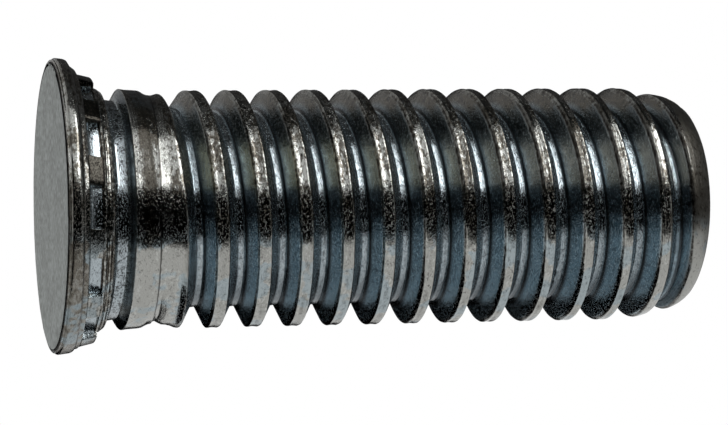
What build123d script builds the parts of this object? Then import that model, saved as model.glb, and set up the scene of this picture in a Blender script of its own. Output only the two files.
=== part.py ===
from build123d import *
import os
from math import atan, cos, degrees, radians, tan

# Self-clinching stud with a flush head, M6 x 1 right-hand thread, 16 mm nominal length.
# One piece of zinc-plated steel, cold headed and thread rolled. All sizes are in millimetres.
# The origin is on the shank axis, at the flat face of the head. +Z runs from the head to the tip.

# Thread
thread_radius = 2.935            # over the crests
pitch = 1.0
total_length = 15.9              # face of the head to the tip
thread_depth = 0.55 * pitch
root_flat = 0.17 * pitch
flank_slope = 60.0               # degrees between a flank and the axis
thread_start = 3.35              # height where the groove reaches its full depth, on +X
runout_turns = 1.5               # turns over which the groove fades out towards the head
runout_clearance = 0.05          # how far the groove's floor ends outside the crests
tip_radius = 2.47                # flat end of the tip
tip_slope = 41.0                 # degrees between the end chamfer and the axis
crest_fill = 3.0                 # length over which the rolled crests rise to full height

# Clinch groove, which the metal of the sheet flows into, and the collar beyond it
collar_step = 0.05               # collar below the crests
collar_height = 0.40
groove_depth = 0.245             # below the collar
groove_floor = 0.10
groove_round = 0.06              # between floor and walls
groove_near_wall = 0.09          # height of the wall beside the neck
groove_far_wall = 0.24           # height of the sloping wall beside the collar

# Neck between the ribs and the groove
neck_step = 0.06                 # foot of the neck above the collar
neck_height = 0.20
neck_taper = 0.10

# Ribs under the head, which bite into the sheet and stop the stud turning
rib_count = 12
rib_step = 0.30                  # rib above the foot of the neck
rib_height = 0.40
rib_width = 0.70
rib_bevel = 0.09                 # at the free end of a rib
rib_angle = -14.0                # where the first rib stands, from +X
ledge_step = 0.13                # ring between the ribs, against the head
ledge_height = 0.14

# Head
head_step = 0.30                 # rim of the head beyond the ribs
head_offset = 0.107               # heading leaves the disc this far off the axis, towards -X
rim_height = 0.43
back_height = 0.17
back_step = 0.22                 # how far the sloping back comes in from the rim
face_bevel = 0.05                # worn edge between face and rim
face_bevel_height = 0.08

# Radii and heights that follow from the sizes above
root_radius = thread_radius - thread_depth
pitch_radius = thread_radius - thread_depth / 2
collar_radius = thread_radius - collar_step
neck_radius = collar_radius + neck_step
rib_radius = neck_radius + rib_step
head_radius = rib_radius + head_step
seat = rim_height + back_height
rib_end = seat + rib_height
neck_end = rib_end + neck_height
groove_end = neck_end + groove_near_wall + groove_floor + groove_far_wall
collar_end = groove_end + collar_height
sink = back_height               # how far ribs and neck reach down into the head


def turned(*outline):
    """Solid of revolution about Z, from an outline of radius and height pairs."""
    return revolve(make_face(Plane.XZ * Polyline(*outline, close=True)), Axis.Z)


def make_head():
    """Thin disc with a bevelled face and a sloping back, a little off the shank axis."""
    disc = turned(
        (0, 0),
        (head_radius - face_bevel, 0),
        (head_radius, face_bevel_height),
        (head_radius, rim_height),
        (head_radius - back_step, seat),
        (0, seat),
    )
    return Pos(-head_offset, 0, 0) * disc


def make_ribs():
    """Ring of bevelled ribs, with a low ledge that fills the corners between them."""
    ledge = Pos(0, 0, seat - sink) * Cylinder(
        neck_radius + ledge_step, sink + ledge_height, align=(Align.CENTER, Align.CENTER, Align.MIN)
    )
    side = Polyline(
        (neck_radius / 2, seat - sink),
        (rib_radius, seat - sink),
        (rib_radius, rib_end - rib_bevel),
        (rib_radius - rib_bevel, rib_end),
        (neck_radius / 2, rib_end),
        close=True,
    )
    rib = extrude(make_face(Plane.XZ * side), rib_width / 2, both=True)
    ribs = [place * rib for place in PolarLocations(0, rib_count, start_angle=rib_angle)]
    return [ledge] + ribs


def make_blank():
    """Neck, clinch groove, collar and plain shank, left too long at the tip."""
    floor_radius = collar_radius - groove_depth
    floor_start = neck_end + groove_near_wall
    outline = Polyline(
        (0, seat - sink),
        (neck_radius, seat - sink),
        (neck_radius, rib_end),
        (neck_radius - neck_taper, neck_end),
        (floor_radius, floor_start),
        (floor_radius, floor_start + groove_floor),
        (collar_radius, groove_end),
        (collar_radius, collar_end),
        (thread_radius, collar_end + crest_fill),
        (thread_radius, total_length + 3 * pitch),
        (0, total_length + 3 * pitch),
        close=True,
    )
    section = make_face(Plane.XZ * outline)
    floor_corners = section.vertices().sort_by(Axis.X)[2:4]    # the two on the axis come first
    return revolve(fillet(floor_corners, groove_round), Axis.Z)


def flank_reach(radius):
    """How far the groove opens to each side of its middle at a radius."""
    return root_flat / 2 + (radius - root_radius) / tan(radians(flank_slope))


def groove_section():
    """Cross-section of the thread groove: narrow flat root and straight flanks that pass the crests."""
    outside = thread_radius + runout_clearance
    # the point halfway up a flank changes no shape, and keeps the flank's facets few
    half = [(radius, flank_reach(radius)) for radius in (root_radius, pitch_radius, outside)]
    other_half = [(radius, -reach) for radius, reach in reversed(half)]
    return Plane.XZ * make_face(Polyline(*half, *other_half, close=True))


def swept_groove(turns, rise):
    """Groove section swept up a right-hand helix, which leaves the axis by rise on the way."""
    height = turns * pitch
    cone = atan(rise / height)
    path = Helix(pitch / cos(cone), height, root_radius, cone_angle=degrees(cone))
    return sweep(groove_section(), path, is_frenet=True)


def make_shank():
    """Blank with the thread rolled in and the end chamfered."""
    turns = (total_length - thread_start) / pitch + 1
    thread = swept_groove(turns, 0)
    runout = Rot(180, 0, 0) * swept_groove(runout_turns, thread_depth + runout_clearance)
    over = 4 * thread_depth
    trim = turned(
        (0, total_length),
        (tip_radius, total_length),
        (tip_radius + over, total_length - over / tan(radians(tip_slope))),
        (tip_radius + over, total_length + 4 * pitch),
        (0, total_length + 4 * pitch),
    )
    start = Pos(0, 0, thread_start)
    return make_blank() - start * thread - start * runout - trim


stud = make_shank() + make_head() + make_ribs()
os.makedirs("parts", exist_ok=True)
export_step(stud, "parts/stud.step")
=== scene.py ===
import math

import bmesh
import bpy
from mathutils import Matrix, Vector, noise


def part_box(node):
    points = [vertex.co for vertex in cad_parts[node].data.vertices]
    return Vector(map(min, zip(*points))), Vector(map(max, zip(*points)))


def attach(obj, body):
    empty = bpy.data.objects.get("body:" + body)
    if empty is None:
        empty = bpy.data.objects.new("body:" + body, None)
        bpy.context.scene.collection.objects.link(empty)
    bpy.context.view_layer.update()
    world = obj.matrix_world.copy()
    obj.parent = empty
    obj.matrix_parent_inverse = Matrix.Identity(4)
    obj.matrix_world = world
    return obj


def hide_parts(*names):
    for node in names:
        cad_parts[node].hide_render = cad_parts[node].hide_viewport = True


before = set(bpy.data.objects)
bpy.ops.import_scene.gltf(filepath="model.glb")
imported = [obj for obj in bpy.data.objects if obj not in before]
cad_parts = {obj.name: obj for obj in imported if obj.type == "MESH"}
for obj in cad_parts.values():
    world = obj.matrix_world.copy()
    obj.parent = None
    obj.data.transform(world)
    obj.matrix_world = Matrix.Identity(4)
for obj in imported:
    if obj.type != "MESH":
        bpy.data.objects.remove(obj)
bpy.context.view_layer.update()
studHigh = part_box("stud")[1]
print("frame loaded")

# lengths are in millimetres until a finished mesh is scaled to metres
millimetre = 0.001
fullTurn = 2 * math.pi
sameVertex = 1e-4  # vertices closer than this are merged
sameHeight = 1e-3  # vertices closer than this in height are on one ring


def between(points, place):
    # the value at a place on a line of (place, value) points
    for (a, low), (b, high) in zip(points, points[1:]):
        if place <= b:
            share = (place - a) / (b - a)
            return low + (high - low) * max(0.0, share)
    return points[-1][1]


def once(things):
    # each thing once, in the order in which they come
    return list(dict.fromkeys(things))


def softMin(a, b, width):
    # the smaller of two lengths, with the corner between them rounded
    gap = max(0.0, width - abs(a - b)) / width
    return min(a, b) - width * gap * gap / 4


stud = {
    "length": studHigh.z / millimetre,
    "columns": 180,
    "pitch": 1.0,
    "turns": 15,
    "blank": (2.9, -1.5),  # radius of the plain tube and where its long edge starts
    "threadStart": 1.349,  # height of the first row of the thread, on a crest
    "collarTop": 1.849,  # rows below this height make the collar, not the thread
    "rootRadius": 0.144,  # rounding at the bottom of the groove
    # groove depth by height of its centre line: it runs out towards the head
    "depth": ((2.15, 0.0), (2.35, 0.08), (2.6, 0.24), (2.85, 0.40),
              (3.1, 0.48), (3.35, 0.52), (14.7, 0.57), (15.3, 0.45), (15.9, 0.42)),
    "fullDepthFrom": 3.35,  # the groove keeps at least the shape it has here
    "creaseDepth": (0.15, 0.40),  # a plain crease up to the first depth, a full groove past the second
    # radius of the crest by height: it dips where the run-out starts
    "crest": ((2.05, 2.95), (2.2, 2.861), (2.34, 2.857), (2.36, 2.851), (2.57, 2.809), (2.63, 2.810),
              (2.76, 2.790), (2.85, 2.81), (2.95, 2.858), (3.1, 2.874), (3.5, 2.882), (15.9, 2.95)),
    # the shank is pinched on two sides where the thread starts: height, half height and depth
    "pinch": (2.35, 0.28, 0.10),
    "band": ((3.0, 0.29), (9.0, 0.245), (15.9, 0.19)),  # width of the crest
    # where the run-out flattens towards a ring: how far rows move up, by height
    "runout": ((1.62, 0.0), (1.849, 0.48), (2.1, 0.26), (2.349, 0.11), (2.849, 0.06), (3.85, 0.025),
               (15.9, 0.0)),
    # share of the groove's half width, then of the crest's half width, where rows lie
    "grooveRows": (0.10, 0.20, 0.31, 0.54, 0.77, 0.91, 1.0),
    "crestRows": (0.22, 0.48, 0.74),
    "floorHalf": 0.08,  # the groove's narrow floor leans: half its width and its slope
    "floorSlope": 0.14,
    # how far the crest drops into its seam, by share of its half width, towards the head and the tip
    "headLip": ((0.0, 0.0), (0.22, 0.0), (0.48, 0.6), (0.74, 0.92), (1.0, 1.0)),
    "tipLip": ((0.0, 0.5), (0.22, 0.2), (0.48, 0.6), (0.74, 0.9), (1.0, 1.0)),
    "seamDepth": ((2.75, 0.0), (3.3, 0.013), (9.0, 0.010), (15.9, 0.007)),  # by height
    "lipDrop": 0.022,  # how far the crest's edge is rounded away
    "lipDepth": 0.2,  # in a shallower groove it is rounded less
    "outline": (  # radius by height, from the face through rim, ledge, neck and clinch groove
        (0.0, 3.405), (0.012, 3.445), (0.025, 3.487), (0.038, 3.503), (0.068, 3.499), (0.082, 3.512),
        (0.10, 3.532), (0.12, 3.54), (0.17, 3.536), (0.24, 3.528), (0.30, 3.52), (0.355, 3.511),
        (0.39, 3.49), (0.42, 3.45), (0.435, 3.40), (0.455, 3.382), (0.475, 3.374), (0.55, 3.362),
        (0.572, 3.33), (0.59, 3.28), (0.60, 3.14), (0.63, 3.07), (0.67, 3.04), (0.86, 3.01), (0.895, 3.0),
        (0.91, 2.955), (0.93, 2.95), (0.95, 2.985), (0.985, 2.985), (1.01, 2.955), (1.025, 2.905),
        (1.04, 2.90), (1.055, 2.925), (1.085, 2.915), (1.10, 2.88), (1.115, 2.87), (1.13, 2.88),
        (1.165, 2.855), (1.185, 2.80), (1.205, 2.72), (1.225, 2.676), (1.25, 2.660), (1.30, 2.652),
        (1.37, 2.642), (1.44, 2.632), (1.475, 2.630), (1.495, 2.65), (1.52, 2.69), (1.56, 2.76),
        (1.60, 2.83), (1.62, 2.866), (1.635, 2.888), (1.65, 2.898), (1.71, 2.891), (1.77, 2.881),
        (1.83, 2.878), (1.93, 2.874), (2.04, 2.868), (2.13, 2.865), (2.22, 2.862), (2.29, 2.88),
        (2.34, 3.2), (15.9, 3.2),
    ),
    "tip": (  # largest radius by height, over the end chamfer
        (14.3, 2.98), (14.8, 2.885), (15.1, 2.81), (15.35, 2.775), (15.5, 2.745), (15.65, 2.695),
        (15.76, 2.645), (15.86, 2.58), (15.885, 2.555), (15.9, 2.51),
    ),
    "tipRound": 0.06,  # how softly thread and chamfer meet
    "tipRings": (15.3, 15.36, 15.42, 15.5, 15.6, 15.7, 15.8, 15.86, 15.885),
    "tipStart": 15.1,  # rows past this height stop at the end face
    # how far rings stand off the shank's axis, by height
    "headOffset": ((0.0, -0.107), (0.42, -0.107), (0.50, -0.07), (0.66, -0.03), (0.95, 0.0),
                   (1.4, 0.0), (1.7, -0.015), (2.1, -0.012), (2.5, 0.0)),
    # how far a ring leans out of level, by height
    "skew": ((0.0, 0.0), (0.12, 0.0), (0.40, 0.065), (0.95, 0.065), (1.10, 0.03), (1.25, 0.0),
             (1.75, 0.0), (2.2, 0.12), (2.35, 0.13), (2.5, 0.085), (2.7, 0.03), (2.8, 0.0)),
    "rimShift": 0.04,  # the rim is this much thinner on one side
    "rimBack": (0.3, 0.6),  # heights between which it is
    "clinchFloor": 1.3,  # the thread may cut into the outline above this height
    "lean": -0.02,  # sideways lean of the shank at its tip
    # rolled surfaces are a little wavy: how much, from which height, waves round the shank and along it
    "waves": (0.006, 1.7, 9, 2.2),
    "faceInset": 0.25,
    "sharpFrom": math.radians(38),  # edges that turn more than this are shaded sharp
}
ribs = {
    "count": 12,
    "first": math.radians(-17),
    "halfWidth": math.radians(6.0),
    "bottom": 0.59,
    "top": 0.95,
    "radius": ((0.59, 3.285), (0.64, 3.267), (0.78, 3.237), (0.91, 3.205), (0.95, 3.185)),
    "bevel": 0.06,
}


def grooveHalfWidth(height):
    return 0.5 - between(stud["band"], height) / 2


def grooveRise(side, offset, width, depth):
    # height above the bottom of a full groove: a narrow floor and a round between straight flanks
    if offset <= stud["floorHalf"] + 1e-3:
        return stud["floorSlope"] * (stud["floorHalf"] - side * offset)
    radius = stud["rootRadius"]
    reach = math.hypot(width, depth - radius)
    slope = math.atan2(depth - radius, width) + math.asin(min(1.0, radius / reach))
    tangent = radius * math.sin(slope)
    if offset < tangent:
        return radius - math.sqrt(radius * radius - offset * offset)
    return radius * (1 - math.cos(slope)) + (offset - tangent) * math.tan(slope)


def sectionRows():
    # heights of the rows in one pitch, measured from a crest's centre
    width = grooveHalfWidth(stud["length"])
    near = [width * share for share in stud["grooveRows"]]
    near += [width + (0.5 - width) * share for share in stud["crestRows"]]
    rows = [-offset for offset in reversed(near)] + [0.0] + near
    return [0.5 + offset for offset in rows]


def threadPlace(height, turn):
    # where a point of the plain tube goes on the thread: height and radius
    if height - turn < stud["threadStart"] or height < stud["collarTop"]:
        risen = height + between(stud["runout"], height)
        return risen, between(stud["crest"], risen)
    along = height - turn - stud["threadStart"] - 0.5
    offset = along - round(along)
    centre = height - offset
    plain = grooveHalfWidth(stud["length"])
    width = grooveHalfWidth(height)
    side = math.copysign(1, offset)
    inCrest = abs(offset) > plain
    share = (abs(offset) - plain) / (0.5 - plain) if inCrest else abs(offset) / plain
    across = width + (0.5 - width) * share if inCrest else width * share
    height = centre + side * across
    height += between(stud["runout"], height)
    crest, depth = between(stud["crest"], height), between(stud["depth"], centre)
    deepest = max(depth, between(stud["depth"], stud["fullDepthFrom"]))
    if inCrest:
        seam = between(stud["seamDepth"], height)
        return height, crest - seam * between(stud["headLip" if side > 0 else "tipLip"], share)
    plainTo, fullFrom = stud["creaseDepth"]
    full = min(1.0, max(0.0, (depth - plainTo) / (fullFrom - plainTo)))
    rise = full * grooveRise(side, across, width, deepest) / deepest + (1 - full) * across / width
    radius = crest - depth * (1 - rise)
    drop = stud["lipDrop"] * min(1.0, depth / stud["lipDepth"]) + 1e-5
    return height, softMin(radius, crest - drop * 0.3, drop * 2)


def shapePoint(point):
    # moves one point of the plain tube to its place on the stud
    turn = (math.atan2(point.y, point.x) / fullTurn - 0.5) % 1.0
    if turn > 1 - 1e-5:  # the same place as 0
        turn = 0.0
    angle = (turn + 0.5) * fullTurn
    height, radius = threadPlace(point.z, turn)
    if point.z > stud["tipStart"]:
        height = min(height, stud["length"]) if point.z < stud["length"] - sameVertex else stud["length"]
    shift = 0.0
    backStart, backEnd = stud["rimBack"]
    if backStart < height < backEnd:
        bulge = math.sin((height - backStart) / (backEnd - backStart) * math.pi)
        shift = -stud["rimShift"] * math.cos(angle) * bulge
    outline = between(stud["outline"], height + shift)
    radius = min(outline, radius) if height > stud["clinchFloor"] else outline
    middle, reach, pinch = stud["pinch"]
    radius -= pinch * math.cos(angle) ** 4 * max(0.0, 1 - ((height - middle) / reach) ** 2) ** 2
    if height > stud["tip"][0][0]:
        radius = softMin(radius, between(stud["tip"], height), stud["tipRound"])
    size, start, around, along = stud["waves"]
    if height > start:
        spot = Vector((math.cos(angle) * around, math.sin(angle) * around, height * along))
        radius += size * noise.noise(spot)
    side = between(stud["headOffset"], height) + stud["lean"] * height / stud["length"]
    point.x = radius * math.cos(angle) + side
    point.y = radius * math.sin(angle)
    point.z = height


def cutRing(mesh, height, **clear):
    # a ring of edges all the way round; clear_inner or clear_outer takes away what is below or above
    bmesh.ops.bisect_plane(
        mesh, geom=mesh.verts[:] + mesh.edges[:] + mesh.faces[:], dist=1e-5,
        plane_co=(0, 0, height), plane_no=(0, 0, 1), **clear)


def plainTube(mesh):
    # one long edge past the head, then every row of the thread, spun one turn while rising one pitch
    pitch, start = stud["pitch"], stud["threadStart"]
    section = sectionRows()
    blankRadius, blankStart = stud["blank"]
    heights = [blankStart, start]
    heights += [start + (lap + row) * pitch for lap in range(stud["turns"]) for row in section + [1.0]]
    chain = [mesh.verts.new((-blankRadius, 0, height)) for height in heights]
    edges = [mesh.edges.new(pair) for pair in zip(chain, chain[1:])]
    columns = stud["columns"]
    end = bmesh.ops.spin(
        mesh, geom=chain + edges, cent=(0, 0, 0), axis=(0, 0, 1), dvec=(0, 0, pitch / columns),
        angle=fullTurn, steps=columns, use_duplicate=False, use_merge=False)["geom_last"]
    # the last column's long edge takes the first pitch's rows, so that both sides of the seam match
    mesh.edges.ensure_lookup_table()
    longEdge = max((e for e in end if isinstance(e, bmesh.types.BMEdge)), key=lambda e: e.calc_length())
    lower = min(longEdge.verts, key=lambda v: v.co.z)
    for height in [start] + [start + row * pitch for row in section]:
        upper = longEdge.other_vert(lower)
        share = (height - lower.co.z) / (upper.co.z - lower.co.z)
        middle = bmesh.utils.edge_split(longEdge, lower, share)[1]
        longEdge = next(e for e in middle.link_edges if e.other_vert(middle) == upper)
        lower = middle
    bmesh.ops.remove_doubles(mesh, verts=mesh.verts[:], dist=sameVertex)


def capEnds(mesh):
    rims = [e for e in mesh.edges if e.is_boundary]
    for height in (0.0, stud["length"]):
        rim = [e for e in rims if abs(e.verts[0].co.z - height) < sameHeight]
        cap = bmesh.ops.contextual_create(mesh, geom=rim)["faces"]
        bmesh.ops.inset_region(mesh, faces=cap, thickness=stud["faceInset"], use_even_offset=True)


def inRib(face):
    middle = face.calc_center_median()
    if not ribs["bottom"] < middle.z < ribs["top"]:
        return False
    spacing = fullTurn / ribs["count"]
    turn = math.atan2(middle.y, middle.x) - ribs["first"]
    return abs(turn - round(turn / spacing) * spacing) < ribs["halfWidth"]


def raiseRibs(mesh):
    # the faces under each rib are drawn out to its radius; its foot is merged with the ring below
    below = [f for f in mesh.faces if inRib(f)]
    raised = bmesh.ops.extrude_face_region(mesh, geom=below)["geom"]
    bmesh.ops.delete(mesh, geom=below, context="FACES")
    for vert in [v for v in raised if isinstance(v, bmesh.types.BMVert)]:
        radius = between(ribs["radius"], vert.co.z)
        flat = Vector((vert.co.x, vert.co.y, 0))
        vert.co += flat.normalized() * (radius - flat.length)
    tops = [f for f in raised if isinstance(f, bmesh.types.BMFace)]
    rims = once(e for f in tops for e in f.edges if sum(g in tops for g in e.link_faces) == 1)
    inner = [v for e in rims for v in e.verts if v.co.z < ribs["bottom"] + sameHeight]
    below = [v for v in mesh.verts if abs(v.co.z - ribs["bottom"]) < sameHeight]
    bmesh.ops.remove_doubles(mesh, verts=once(inner + below), dist=sameHeight)
    rims = [e for e in rims if e.is_valid and max(v.co.z for v in e.verts) > ribs["bottom"] + sameHeight]
    bmesh.ops.bevel(
        mesh, geom=rims, offset=ribs["bevel"], affect="EDGES", segments=2,
        profile=0.5, material=-1, clamp_overlap=True)


def leanRings(mesh):
    # rings near the head stand a little out of level
    for vert in mesh.verts:
        if vert.co.z < stud["skew"][-1][0]:
            flat = math.hypot(vert.co.x, vert.co.y)
            # 0.1 keeps a point on the axis from a division by zero
            vert.co.z += between(stud["skew"], vert.co.z) * vert.co.y / max(flat, 0.1)


def makeStud():
    mesh = bmesh.new()
    plainTube(mesh)
    cutRing(mesh, 0.0, clear_inner=True)
    cutRing(mesh, stud["length"], clear_outer=True)
    # rings of the collar are cut where the run-out will lift them to their heights
    lifted = [(height + lift, height) for height, lift in stud["runout"]]
    for height in [place for place, _ in stud["outline"][1:-2]]:
        cutRing(mesh, between(lifted, height) if height > lifted[0][0] else height)
    for height in stud["tipRings"]:
        cutRing(mesh, height)
    bmesh.ops.remove_doubles(mesh, verts=mesh.verts[:], dist=sameVertex)
    for vert in mesh.verts:
        shapePoint(vert.co)
    capEnds(mesh)
    raiseRibs(mesh)
    leanRings(mesh)
    bmesh.ops.remove_doubles(mesh, verts=mesh.verts[:], dist=sameVertex)
    bmesh.ops.scale(mesh, vec=(millimetre,) * 3, verts=mesh.verts[:])
    bmesh.ops.recalc_face_normals(mesh, faces=mesh.faces[:])
    openEdges = [e for e in mesh.edges if not e.is_manifold]
    print("stud: faces", len(mesh.faces), "open edges", len(openEdges))
    data = bpy.data.meshes.new("studBody")
    mesh.to_mesh(data)
    mesh.free()
    data.shade_smooth()
    data.set_sharp_from_angle(angle=stud["sharpFrom"])
    piece = bpy.data.objects.new("studBody", data)
    bpy.context.scene.collection.objects.link(piece)
    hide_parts("stud")
    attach(piece, "root")
    return piece


studBody = makeStud()
print("stud made")


class Wire:
    # a socket that can stand in a sum
    def __init__(self, tree, socket):
        self.tree, self.socket = tree, socket

    def maths(self, operation, *terms):
        return self.tree.add("ShaderNodeMath", {"operation": operation}, dict(enumerate(terms)))

    def __add__(self, other):
        return self.maths("ADD", self, other)

    def __radd__(self, other):
        return self.maths("ADD", other, self)

    def __sub__(self, other):
        return self.maths("SUBTRACT", self, other)

    def __rsub__(self, other):
        return self.maths("SUBTRACT", other, self)

    def __mul__(self, other):
        return self.maths("MULTIPLY", self, other)

    def __rmul__(self, other):
        return self.maths("MULTIPLY", other, self)

    def __truediv__(self, other):
        return self.maths("DIVIDE", self, other)

    def __rtruediv__(self, other):
        return self.maths("DIVIDE", other, self)

    def __pow__(self, other):
        return self.maths("POWER", self, other)

    def __abs__(self):
        return self.maths("ABSOLUTE", self)

    def sine(self):
        return self.maths("SINE", self)

    def cosine(self):
        return self.maths("COSINE", self)

    def fraction(self):
        return self.maths("FRACT", self)

    def larger(self, other):
        return self.maths("MAXIMUM", self, other)

    def smaller(self, other):
        return self.maths("MINIMUM", self, other)

    def rise(self, start, end):
        # 0 before start, 1 past end, smooth between
        settings = {"interpolation_type": "SMOOTHSTEP", "clamp": True}
        values = {"Value": self, "From Min": start, "From Max": end}
        return self.tree.add("ShaderNodeMapRange", settings, values)

    def within(self, start, full, fall, end):
        # 1 between full and fall, 0 before start and past end
        return self.rise(start, full) * (1 - self.rise(fall, end))


class Tree:
    # a material's or world's nodes
    def __init__(self, owner):
        owner.use_nodes = True
        self.nodes, self.links = owner.node_tree.nodes, owner.node_tree.links
        self.nodes.clear()

    def add(self, kind, settings=None, values=None, out=0):
        # settings first, since they decide which sockets there are; then a value or a link for each socket
        node = self.nodes.new(kind)
        for name, value in (settings or {}).items():
            setattr(node, name, value)
        for key, value in (values or {}).items():
            socket = node.inputs[key] if isinstance(key, int) else next(
                s for s in node.inputs if key in (s.identifier, s.name))
            if isinstance(value, Wire):
                self.links.new(value.socket, socket)
            else:
                socket.default_value = value
        if not node.outputs:
            return node
        if isinstance(out, str):
            out = next(n for n, s in enumerate(node.outputs) if out in (s.identifier, s.name))
        return Wire(self, node.outputs[out])

    def mix(self, share, first, second):
        # a colour between two
        settings = {"data_type": "RGBA", "clamp_factor": True}
        values = {"Factor_Float": share, "A_Color": first, "B_Color": second}
        return self.add("ShaderNodeMix", settings, values, "Result_Color")

    def vector(self, x, y, z):
        return self.add("ShaderNodeCombineXYZ", {}, {"X": x, "Y": y, "Z": z})

    def noise(self, where, scale, detail=2.0, roughness=0.5, w=None):
        values = {"Vector": where, "Scale": scale, "Detail": detail, "Roughness": roughness}
        if w is not None:
            values["W"] = w
        return self.add("ShaderNodeTexNoise", {"noise_dimensions": "3D" if w is None else "4D"}, values)


zinc = {
    # colours of the plated steel, bright to dark; the darkest also serve as painted shade
    "bright": (0.52, 0.53, 0.505, 1),
    "brown": (0.17, 0.158, 0.134, 1),
    "sootAndShade": (0.015, 0.012, 0.010, 1),
    "steel": (0.38, 0.48, 0.54, 1),
    "slate": (0.31, 0.41, 0.465, 1),
    "darkSteelAndShade": (0.09, 0.11, 0.125, 1),
    "wall": (0.13, 0.16, 0.18, 1),
    "olive": (0.235, 0.225, 0.165, 1),
    "umber": (0.22, 0.205, 0.175, 1),
    "rib": (0.05, 0.047, 0.04, 1),
    "root": (0.47, 0.53, 0.56, 1),
    "face": (0.215, 0.236, 0.227, 1),
    "faceDark": (0.075, 0.08, 0.075, 1),
    "blotch": 1.1,  # size of the three patterns, in patches to a millimetre
    "mottle": 7.0,
    "fine": 19.0,
    "bumpHeight": 0.000022,  # in metres
    # straight lines that the crest follows: height, radius there and slope; the lowest one counts
    "crestLines": ((0.0, 2.872, 0.005), (14.3, 2.98, -0.196), (15.5, 2.745, -0.46)),
    "rootRadius": 2.36,
    "awayFromKeyLight": (0.545, 0.839),  # points away from the side that mirrors the key lamp, where highlight and shade are painted
    "towardsFillLight": (0.87, -0.5),  # points towards the side that mirrors the lower fill card, painted lighter and greyer
    "crease": (2.345, 0.13),  # height of the crease where the thread runs out, and its lean
    # rings of painted shade at the steps behind the head: height, half width and where they end
    "shadeRings": ((0.435, 0.006, 0.02), (0.91, 0.006, 0.022), (1.03, 0.006, 0.018), (1.11, 0.005, 0.018)),
}
places = {
    # where finishes change, by height on the stud: first and last height of a change, or of two
    "face": (0.001, 0.003),
    "faceEdge": (0.015, 0.028),
    "headBack": (0.585, 0.60),
    "ribGaps": (0.60, 0.61, 0.88, 0.9),
    "ribsEnd": (1.05, 1.1),
    "neck": (0.89, 0.905),
    "neckEnd": (1.2, 1.24),
    "levelAgain": (0.95, 1.25),
    "collar": (1.62, 1.66),
    "collarLip": (1.60, 1.64, 1.74, 1.81),
    "collarBand": (1.80, 1.88, 2.0, 2.12),
    "collarUpperSlate": (1.75, 1.82, 2.2, 2.4),
    "firstStep": (2.215, 2.25, 2.43, 2.51),
    "fullCrest": (2.55, 3.1),
    "crestEdge": (2.75, 3.0),
    "crestSeam": (2.7, 3.1),
    "rollingBump": (2.75, 2.95),
    "fullRoot": (3.0, 3.4),
    "shadedCrests": (7.0, 12.5),
    "chamfer": (15.3, 15.45),
    "chamferShade": (15.25, 15.4),
    "chamferRough": (15.3, 15.42),
    "rootEnd": (15.2, 15.4),
    "tip": (15.62, 15.7),
    "end": (15.84, 15.88),
    # the same by radius
    "ribs": (3.09, 3.13),
    "clinchWall": (2.66, 2.74),
    "clinchDarkFloor": (2.70, 2.66),
}


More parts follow.
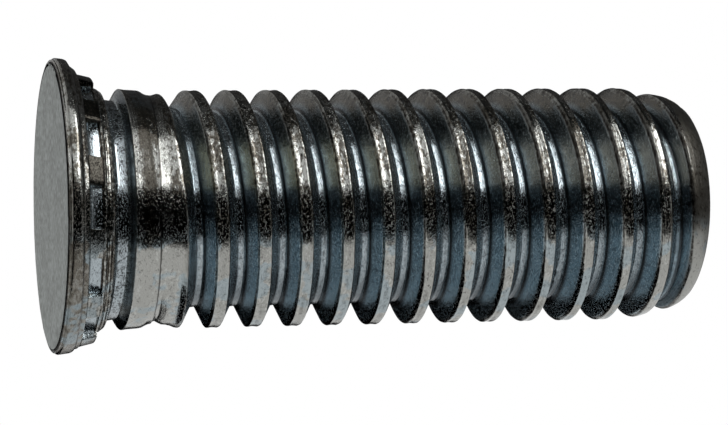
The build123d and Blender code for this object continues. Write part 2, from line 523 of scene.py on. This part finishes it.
def zincPlate():
    material = bpy.data.materials.new("zincPlate")
    tree = Tree(material)
    place = tree.add("ShaderNodeTexCoord", out="Object")
    spot = tree.add("ShaderNodeVectorMath", {"operation": "SCALE"}, {0: place, "Scale": 1 / millimetre})
    x, y, z = [tree.add("ShaderNodeSeparateXYZ", {}, {0: spot}, axis) for axis in "XYZ"]
    radius = (x * x + y * y) ** 0.5
    turn = y.maths("ARCTAN2", y, x) / fullTurn
    pitchShare = (z - turn - (stud["threadStart"] - 0.5)).fraction()
    across = pitchShare - 0.5  # from a crest's centre, in pitches
    phase = pitchShare * fullTurn
    # a place across the thread that runs on unbroken from pitch to pitch
    along = tree.vector(x * 0.6 + z * 0.35, y * 0.6 - z * 0.2, phase.cosine() * 2.2)
    streaks = tree.noise(along, 2.4, 3.0, 0.6, w=phase.sine() * 2.2 * 2.4)
    tight = tree.add("ShaderNodeVectorMath", {"operation": "MULTIPLY"}, {0: spot, 1: (1.0, 1.0, 1.9)})
    blotch = tree.noise(spot, zinc["blotch"], 3.0, 0.6)
    mottle = tree.noise(tight, zinc["mottle"], 3.0, 0.65)
    fine = tree.noise(tight, zinc["fine"], 2.0, 0.6)
    level = z - y * 0.022 * (1 - z.rise(*places["levelAgain"]))  # height on the leaning back of the head

    # where each part of the stud is: 1 on it and 0 off it
    threaded = z.rise(*places["collar"])
    shank, chamfer, tipEdge = [at + (z - height) * slope for height, at, slope in zinc["crestLines"]]
    below = shank.smaller(chamfer).smaller(tipEdge) - radius  # depth below the crest
    below = below * (0.3 + 0.7 * z.rise(*places["fullCrest"]))
    overRoot = radius - zinc["rootRadius"]
    crest = (1 - below.rise(0.05, 0.12)) * threaded
    onFace = 1 - z.rise(*places["face"])
    onEnd = z.rise(*places["end"])
    head = 1 - level.rise(*places["headBack"])
    rib = radius.rise(*places["ribs"]) * (1 - head) * (1 - z.rise(*places["ribsEnd"]))
    neck = level.rise(*places["neck"]) * (1 - z.rise(*places["neckEnd"])) * (1 - rib)
    seat = (1 - threaded) * (1 - head) * (1 - rib) * (1 - neck)
    tip = z.rise(*places["tip"])
    brown = crest.larger(head).larger(rib).larger(neck).larger(tip)

    # sides of the stud, with ragged edges, where painted highlight and shade go
    awayX, awayY = zinc["awayFromKeyLight"]
    greyX, greyY = zinc["towardsFillLight"]
    # lit: the side that mirrors the key lamp, where painted highlight and shade go
    lit = ((x * awayX + y * awayY) / radius).rise(-0.86, -0.94)
    side = x / radius + mottle * 0.1
    # upper: the side above the lit one, painted darker
    upper = side.rise(-0.74, -0.86) * (1 - onEnd)
    # lower: the side that mirrors the lower fill card; lighter, greyer colour is painted there
    lower = ((x * greyX + y * greyY) / radius + mottle * 0.1).rise(0.60, 0.80) * (1 - onEnd)
    # shade: a band of painted shade between the upper and the lit side
    shade = side.rise(-0.52, -0.66) * (1 - upper)
    # a painted dark band where the flanks would mirror the dark round the camera
    darkReflectionBand = side.within(-0.18, -0.08, 0.10, 0.20)
    # under: the bottom side, where painted shade dims the roots
    under = (x / radius).rise(0.55, 0.95)

    # flanks: steel blue near the root; on the lit side a painted olive reflection towards the crest,
    # strongest on the side that faces the head; painted umber on the upper side and painted shade in bands
    rootShare = 1 - overRoot.rise(0.02, 0.13)
    outer = (overRoot + streaks * 0.06).rise(0.06, 0.20) * (0.6 + 0.4 * across.rise(0.02, -0.02))
    outer = outer * lit
    flank = tree.mix(streaks.rise(0.38, 0.62), zinc["slate"], zinc["steel"])
    outerColour = tree.mix((z + blotch * 6).rise(6.0, 15.0), zinc["olive"], zinc["umber"])
    flank = tree.mix(outer, flank, outerColour)
    flank = tree.mix(upper * overRoot.rise(0.05, 0.30), flank, zinc["umber"])
    flank = tree.mix(rootShare * threaded, flank, zinc["root"])
    # painted shade dims the root on the bottom side
    flank = tree.mix(rootShare * threaded * under * 0.8, flank, zinc["darkSteelAndShade"])
    shade = shade * (1 - rootShare) * (0.35 + 0.5 * mottle.rise(0.42, 0.58))
    flank = tree.mix(shade, flank, zinc["darkSteelAndShade"])
    # painted dark band, mottled
    darkReflectionBand = darkReflectionBand * (1 - rootShare) * (0.5 + 0.5 * mottle.rise(0.40, 0.56))
    flank = tree.mix(darkReflectionBand, flank, zinc["darkSteelAndShade"])
    # painted shade in a band beside the root, on the flank that faces the tip and faintly on the lower
    # side
    beside = overRoot.within(0.03, 0.07, 0.10, 0.20) * z.rise(*places["fullRoot"])
    flank = tree.mix(beside * (0.2 * lower + 0.7 * across.rise(-0.02, 0.02)), flank, zinc["darkSteelAndShade"])
    flank = tree.mix((fine * 0.5 + mottle * 0.5).rise(0.56, 0.40) * 0.45, flank, zinc["darkSteelAndShade"])
    clinch = tree.mix(radius.rise(*places["clinchWall"]), zinc["root"], zinc["wall"])
    gap = level.within(*places["ribGaps"])
    clinch = tree.mix(gap, clinch, zinc["root"])
    flank = tree.mix(seat, flank, clinch)

    # crest, rim and ribs: bright metal under brown mottling, with painted highlight and shade by side
    patch = (mottle * 0.55 + blotch * 0.45).rise(0.44, 0.56)
    collar = z.within(*places["collarBand"])
    patch = patch * (1 - 0.8 * collar.larger(z.rise(*places["chamfer"])))
    # painted lighter crests on the lower side; painted shade on the head away from the lit side
    patch = patch.larger(lower * crest * (0.55 + 0.35 * fine)) * (1 - 0.65 * head * (1 - lit))
    # painted shade in the middle of crests on the lit side
    centre = (1 - (abs(across - 0.01) + (fine - 0.5) * 0.08).rise(0.02, 0.06)) * crest * lit
    patch = patch * (1 - 0.8 * centre)
    # painted highlight on the lit side: the collar's lip and the first step of the run-out
    litLipHighlight = z.within(*places["collarLip"]) + z.within(*places["firstStep"])
    litLipHighlight = litLipHighlight * crest * lit * fine.rise(0.36, 0.48)
    patch = patch.larger(0.9 * litLipHighlight)
    metal = tree.mix(patch, zinc["brown"], zinc["bright"])
    # painted grey-blue patches on the lower side
    metal = tree.mix(lower * blotch.rise(0.50, 0.56) * 0.55, metal, zinc["slate"])
    # slate-blue mottling on the collar's upper side
    upperCollarSlate = upper * z.within(*places["collarUpperSlate"]) * mottle.rise(0.35, 0.55)
    metal = tree.mix(upperCollarSlate * 0.7, metal, zinc["slate"])
    # ribs dark, painted lighter on the lower side
    metal = tree.mix(rib * (1 - 0.8 * lower), metal, zinc["rib"])
    # painted shade: past the shank's middle, crests on the lit side darken towards their head-facing edge;
    # the chamfer darkens everywhere but on the lower side, and so do crest middles on the lit side
    paintedCrestShade = z.rise(*places["shadedCrests"]) * across.rise(-0.075, -0.03) * crest * lit * (0.5 + fine * 0.5)
    paintedCrestShade = paintedCrestShade.larger((0.7 - 0.4 * onEnd) * z.rise(*places["chamferShade"]) * (1 - lower))
    paintedCrestShade = paintedCrestShade.larger(0.3 * centre)
    metal = tree.mix(paintedCrestShade, metal, zinc["rib"])
    # painted shade: crests on the upper side take some of the flank's colour
    colour = tree.mix(brown * (1 - 0.4 * upper * crest), flank, metal)

    # soot in pits, and painted shade in the crest's seam, along its edges, in the run-out crease, in rings
    # behind the head, along the face's edge and at the root's foot
    pits = 1 - (mottle * 0.6 + fine * 0.4).rise(0.38, 0.45)
    # painted shade in the crest's seam, not on the lower side
    seam = 1 - (abs(across) + (mottle - 0.5) * 0.10).rise(0.01, 0.035)
    seam = seam * crest * (1 - lower) * z.rise(*places["crestSeam"])
    # painted dark outline along the crest's edges, fainter on the upper side
    edge = below.within(0.02, 0.035, 0.06, 0.09) * z.rise(*places["crestEdge"]) * (1 - 0.6 * upper)
    creaseAt, creaseLean = zinc["crease"]
    # painted shade in the crease where the thread runs out
    crease = 1 - abs(z - y / radius * creaseLean - creaseAt + (mottle - 0.5) * 0.03).rise(0.010, 0.030)
    lines = (seam * 0.3).larger(edge)
    # painted shade in rings at the steps behind the head
    for height, half, end in zinc["shadeRings"]:
        lines = lines.larger(1 - abs(level - height).rise(half, end))
    lines = lines * (0.35 + (fine + mottle).rise(1.2, 0.8))
    # strength of the pits: painted shade makes it stronger on the upper side, and painted light weaker on
    # the lower side, the lit head and the lit lips; it is also stronger in the clinch groove
    pitsAndShade = 0.6 * brown * (1 - 0.7 * lower) * (1 - 0.5 * head * lit)
    pitsAndShade = 0.25 + pitsAndShade + 0.2 * upper + 0.4 * seat - 0.45 * litLipHighlight
    # mottled darkening on the clinch groove's floor
    seatDarkMottle = (mottle * 0.5 + fine * 0.5).rise(0.50, 0.44) * seat * radius.rise(*places["clinchDarkFloor"]) * 0.8
    # painted shade along the face's edge
    faceEdge = (1 - z.rise(*places["faceEdge"])) * (1 - onFace)
    # painted shade in a line at the root's foot, on the flank that faces the tip
    foot = overRoot.within(0.03, 0.06, 0.09, 0.13) * across.rise(0.0, 0.04)
    foot = foot * z.within(*places["fullRoot"], *places["rootEnd"])
    sootAndShade = (pits * pitsAndShade).larger(lines * 0.85).larger(crease * 0.8)
    sootAndShade = sootAndShade.larger(seatDarkMottle).larger(faceEdge * 0.8).larger(foot * 0.75)
    colour = tree.mix(sootAndShade, colour, zinc["sootAndShade"])

    # the face: even grey with fine flecks that run one way
    flecks = tree.add("ShaderNodeVectorMath", {"operation": "MULTIPLY"}, {0: spot, 1: (6.5, 9.0, 1.0)})
    flecks = tree.noise(flecks, 1.0, 2.0, 0.6) * 0.7 + blotch * 0.3
    plate = tree.mix((1 - flecks.rise(0.43, 0.58)) * 0.75, zinc["face"], zinc["faceDark"])
    colour = tree.mix(onFace, colour, plate)

    # gloss and relief: worn and rolled places are the smoothest
    smooth = brown.larger(rootShare * threaded).larger(seat)
    roughness = 0.11 - 0.03 * smooth + 0.10 * fine + 0.45 * onFace + 0.25 * z.rise(*places["chamferRough"])
    nicks = fine.rise(0.58, 0.64) * (0.3 - 0.15 * brown)
    relief = mottle * (0.35 - 0.05 * brown) + fine * (0.35 - 0.1 * brown) + nicks
    relief = relief + streaks * 0.2 * (1 - brown)
    calm = (0.6 * rootShare * threaded).larger(0.8 * head * lit).larger(0.65 * seat).larger(0.3 * crest)
    calm = calm.larger(0.75 * crest * (1 - z.rise(*places["rollingBump"])))
    calm = calm.larger(0.5 * lower * crest).larger(0.88 * litLipHighlight)
    relief = relief * (1 - calm) * (1 - 0.85 * onFace)
    bump = tree.add("ShaderNodeBump", {}, {
        "Strength": 1.0, "Distance": zinc["bumpHeight"], "Height": relief}, "Normal")
    shader = tree.add("ShaderNodeBsdfPrincipled", {}, {
        "Base Color": colour, "Metallic": 1.0, "Roughness": roughness, "Normal": bump}, "BSDF")
    tree.add("ShaderNodeOutputMaterial", {}, {"Surface": shader})
    return material


studBody.data.materials.append(zincPlate())
print("finishes made")

studio = {
    "ambient": 0.75,
    "floor": (0.86, 0.86, 0.85, 1),
    "floorHole": 3.35,  # radius of the hole under the head
    "floorReach": 400.0,
    # lamps: azimuth, height, distance, width, length and brightness
    "lamps": {
        "keyLamp": (218, 65, 90, 92, 28, 4.5),
        "faceLamp": (262, -60, 60, 60, 60, 1.0),
    },
    # cards round the stud: first and last azimuth, brightness, and distance and height along their section
    "cards": {
        "cameraCard": (250, 305, 0.0, ((3.56, 0.01), (80, 0.1), (80, 100))),
        "lowerCard": (305, 450, 0.7, ((84, 1), (84, 99), (45, 99))),
        "lowCard": (345, 448, 0.0, ((3.56, 0.01), (80, 0.1), (80, 1))),
        "edgeCard": (424, 452, 0.0, ((78, 0.1), (78, 36))),
        "backCard": (450, 550, 0.04, ((80, 1), (80, 100))),
        "backFloor": (450, 550, 0.3, ((3.56, 0.01), (80, 0.1))),
        "keyCard": (550, 610, 0.6, ((120, 1), (120, 148))),
        "keyFloor": (550, 610, 0.35, ((3.56, 0.01), (120, 0.1))),
        "underCard": (480, 610, 0.1, ((15, -60), (80, -60), (80, 0))),
    },
    "cardSteps": 24,  # flat pieces in a card's curve
    "lid": (82, 101, 0.15),  # reach, height and brightness
    "lowAim": -20,  # lamps below this height look at the face, the others at the stud's middle
}
view = {
    "lens": 111.9,
    "place": (-0.039, -54.152, -6.526),
    "right": (0.0117, -0.2550, 0.9669),
    "up": (-0.99993, 0, 0.0121),
    "back": (-0.0031, -0.9669, -0.2550),
}


def makeWorld():
    world = bpy.data.worlds.new("studioWorld")
    bpy.context.scene.world = world
    tree = Tree(world)
    camera = tree.add("ShaderNodeLightPath", out="Is Camera Ray")
    glossy = tree.add("ShaderNodeLightPath", out="Is Glossy Ray")
    through = tree.add("ShaderNodeLightPath", out="Is Transmission Ray")
    shown = camera.larger(glossy).larger(through)
    light = tree.add("ShaderNodeBackground", {}, {
        "Color": (1, 1, 1, 1), "Strength": studio["ambient"] + shown * (1 - studio["ambient"])})
    tree.add("ShaderNodeOutputWorld", {}, {"Surface": light})


def makeFloor():
    # a wide ring round the head, so that light reaches the face it stands on; it is clear from below
    mesh = bmesh.new()
    inner = bmesh.ops.create_circle(mesh, segments=96, radius=studio["floorHole"], cap_ends=False)["verts"]
    bmesh.ops.translate(mesh, verts=inner, vec=(stud["headOffset"][0][1], 0, 0))
    rim = once(e for v in inner for e in v.link_edges)
    drawn = bmesh.ops.extrude_edge_only(mesh, edges=rim)["geom"]
    outer = [v for v in drawn if isinstance(v, bmesh.types.BMVert)]
    bmesh.ops.scale(mesh, vec=(studio["floorReach"] / studio["floorHole"],) * 3, verts=outer)
    bmesh.ops.scale(mesh, vec=(millimetre,) * 3, verts=mesh.verts[:])
    bmesh.ops.recalc_face_normals(mesh, faces=mesh.faces[:])
    if sum(f.normal.z for f in mesh.faces) < 0:
        bmesh.ops.reverse_faces(mesh, faces=mesh.faces[:])
    data = bpy.data.meshes.new("floor")
    mesh.to_mesh(data)
    mesh.free()
    material = bpy.data.materials.new("floorPaper")
    tree = Tree(material)
    below = tree.add("ShaderNodeNewGeometry", out="Backfacing")
    paper = tree.add("ShaderNodeBsdfDiffuse", {}, {"Color": studio["floor"]})
    clear = tree.add("ShaderNodeBsdfTransparent")
    both = tree.add("ShaderNodeMixShader", {}, {0: below, 1: paper, 2: clear})
    tree.add("ShaderNodeOutputMaterial", {}, {"Surface": both})
    data.materials.append(material)
    floor = bpy.data.objects.new("floor", data)
    bpy.context.scene.collection.objects.link(floor)


def makeCamera():
    camera = bpy.data.cameras.new("camera")
    camera.lens, camera.sensor_width = view["lens"], 36
    camera.clip_start, camera.clip_end = 0.001, 10
    holder = bpy.data.objects.new("camera", camera)
    bpy.context.scene.collection.objects.link(holder)
    turned = Matrix((view["right"], view["up"], view["back"])).transposed().to_4x4()
    holder.matrix_world = Matrix.Translation(Vector(view["place"]) * millimetre) @ turned
    bpy.context.scene.camera = holder


def facing(azimuth, height, distance):
    # a place round the stud, turned to look at its middle
    angle = math.radians(azimuth)
    spot = Vector((math.cos(angle) * distance, math.sin(angle) * distance, height))
    aim = Vector((0, 0, studHigh.z / millimetre / 2 if height > studio["lowAim"] else 0)) - spot
    return Matrix.Translation(spot * millimetre) @ aim.to_track_quat("-Z", "Y").to_matrix().to_4x4()


def makeLamps():
    for name, (azimuth, height, distance, width, length, brightness) in studio["lamps"].items():
        light = bpy.data.lights.new(name, "AREA")
        light.shape, light.size, light.size_y = "RECTANGLE", width * millimetre, length * millimetre
        light.energy = brightness * math.pi * light.size * light.size_y
        lamp = bpy.data.objects.new(name, light)
        lamp.matrix_world = facing(azimuth, height, distance)
        lamp.visible_camera = False
        bpy.context.scene.collection.objects.link(lamp)


def addCard(name, mesh, brightness):
    # a card that only reflections show
    bmesh.ops.scale(mesh, vec=(millimetre,) * 3, verts=mesh.verts[:])
    data = bpy.data.meshes.new(name)
    mesh.to_mesh(data)
    mesh.free()
    material = bpy.data.materials.new(name)
    tree = Tree(material)
    glow = tree.add("ShaderNodeEmission", {}, {"Strength": brightness})
    tree.add("ShaderNodeOutputMaterial", {}, {"Surface": glow})
    data.materials.append(material)
    card = bpy.data.objects.new(name, data)
    card.visible_camera = card.visible_diffuse = card.visible_shadow = False
    bpy.context.scene.collection.objects.link(card)


def makeCards():
    middle = Vector((stud["headOffset"][0][1], 0, 0))
    for name, (first, last, brightness, section) in studio["cards"].items():
        mesh = bmesh.new()
        start = Matrix.Translation(middle) @ Matrix.Rotation(math.radians(first), 4, "Z")
        chain = [mesh.verts.new(start @ Vector((distance, 0, height))) for distance, height in section]
        edges = [mesh.edges.new(pair) for pair in zip(chain, chain[1:])]
        bmesh.ops.spin(
            mesh, geom=chain + edges, cent=middle, axis=(0, 0, 1), dvec=(0, 0, 0),
            angle=math.radians(last - first), steps=studio["cardSteps"],
            use_duplicate=False, use_merge=False)
        addCard(name, mesh, brightness)
    reach, height, brightness = studio["lid"]
    lid = bmesh.new()
    bmesh.ops.create_circle(lid, segments=48, radius=reach, cap_ends=True)
    bmesh.ops.translate(lid, verts=lid.verts[:], vec=(0, 0, height))
    addCard("lid", lid, brightness)


makeWorld()
makeFloor()
makeLamps()
makeCards()
makeCamera()
bpy.context.scene.view_settings.view_transform = "Standard"
print("studio made")
